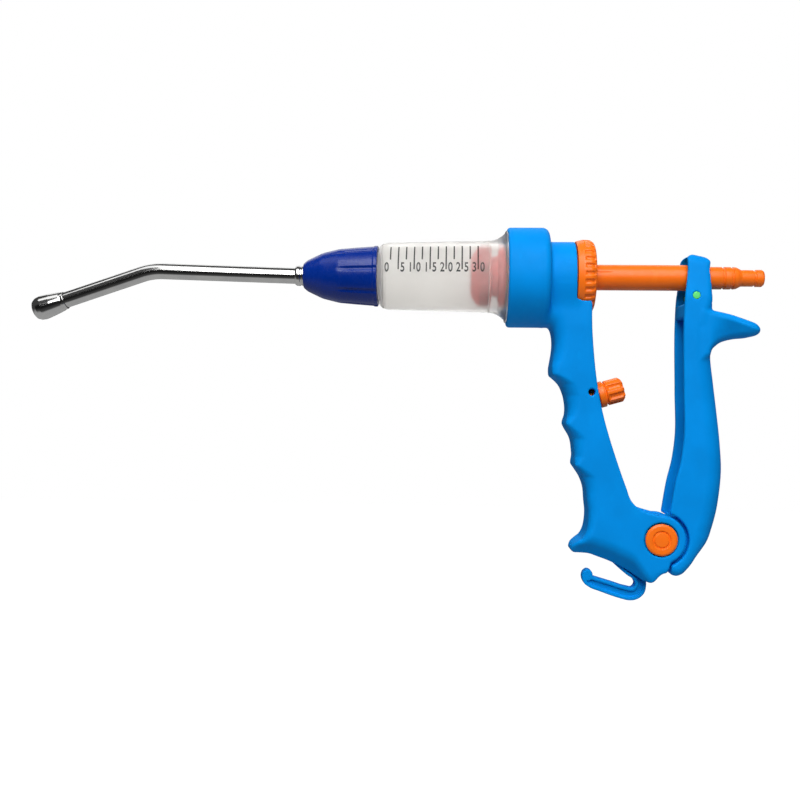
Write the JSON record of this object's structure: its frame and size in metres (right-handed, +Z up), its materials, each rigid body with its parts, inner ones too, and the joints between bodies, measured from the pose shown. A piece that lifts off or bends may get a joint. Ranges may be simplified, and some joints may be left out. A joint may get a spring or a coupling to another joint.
{
  "type": "drenching gun",
  "caption": "Hand-held dosing gun with a graduated barrel, bent nozzle, finger grip and a sprung squeeze lever that drives a hollow piston rod with a hose tail.",
  "frame": {"origin": "middle of the hand on the fixed grip", "axes": "+X along the barrel from the nozzle to the hose tail, +Z up from the foot to the barrel, +Y across"},
  "size_m": [0.3514, 0.048, 0.1769],
  "materials": {
    "blue": "satin blue moulding",
    "dark_blue": "glossy dark blue",
    "orange": "satin orange",
    "green": "satin light green",
    "milky": "milky translucent",
    "pink": "satin pink",
    "seal": "matte dark red",
    "black_rubber": "matte black",
    "white": "matte white",
    "chrome": "polished plating",
    "steel": "bright steel"
  },
  "bodies": {
    "gun_body": {"body_grip": "blue", "belt_hook": "blue", "barrel": "milky", "barrel_gasket": "black_rubber", "front_nut": "dark_blue", "spigot_seal": "black_rubber", "outlet_seat": "white", "outlet_cage": "white", "outlet_spring": "steel", "gland_ring": "orange", "rod_bush": "white", "rod_wiper": "black_rubber", "pivot_bolt": "orange", "pivot_nut": "orange", "handle_spring": "steel", "dose_bush": "orange"},
    "lever": {"lever": "blue", "head_pin": "green"},
    "rod": {"piston_rod": "orange", "piston_head": "pink", "piston_seal": "seal", "inlet_cage": "white", "inlet_spring": "steel", "rod_yoke": "steel", "hose_tail": "orange", "tail_washer": "black_rubber"},
    "inlet_ball": {"inlet_ball": "steel"},
    "outlet_ball": {"outlet_ball": "steel"},
    "dose_slide": {"dose_ring": "black_rubber"},
    "dose_knob": {"dose_knob": "orange", "dose_screw": "steel"},
    "nozzle": {"nozzle_ferrule": "chrome", "nozzle_tube": "chrome", "nozzle_tip": "chrome"}
  },
  "joints": [
    {"name": "lever_hinge", "type": "hinge", "parent": "gun_body", "child": "lever", "pos_m": [0.0339, 0, -0.0495], "axis": [0, -1, 0], "range_deg": [0, 20.32], "stiffness_Nm_per_rad": 0.6, "springref_deg": -34.38, "deforming": ["handle_spring"]},
    {"name": "rod_slide", "type": "slide", "parent": "gun_body", "child": "rod", "axis": [-1, 0, 0], "range_m": [0, 0.0442]},
    {"name": "inlet_valve", "type": "slide", "parent": "rod", "child": "inlet_ball", "axis": [-1, 0, 0], "range_m": [0, 0.0015], "stiffness_N_per_m": 60, "springref_m": -0.002, "deforming": ["inlet_spring"]},
    {"name": "outlet_valve", "type": "slide", "parent": "gun_body", "child": "outlet_ball", "axis": [-1, 0, 0], "range_m": [0, 0.0015], "stiffness_N_per_m": 60, "springref_m": -0.002, "deforming": ["outlet_spring"]},
    {"name": "dose_travel", "type": "slide", "parent": "gun_body", "child": "dose_slide", "axis": [0.9613, 0, 0.2756], "range_m": [0, 0.007]},
    {"name": "dose_turn", "type": "hinge", "parent": "dose_slide", "child": "dose_knob", "pos_m": [0.0063, 0, 0.0176], "axis": [0.9613, 0, 0.2756], "range_deg": [0, 1441]},
    {"name": "nozzle_swivel", "type": "hinge", "parent": "gun_body", "child": "nozzle", "pos_m": [-0.1341, 0, 0.0734], "axis": [-1, 0, 0], "continuous": true}
  ],
  "couplings": [
    {"joint": "rod_slide", "follows": "lever_hinge", "m_per_rad": 0.12457},
    {"joint": "dose_turn", "follows": "dose_travel", "rad_per_m": 3590.4}
  ]
}
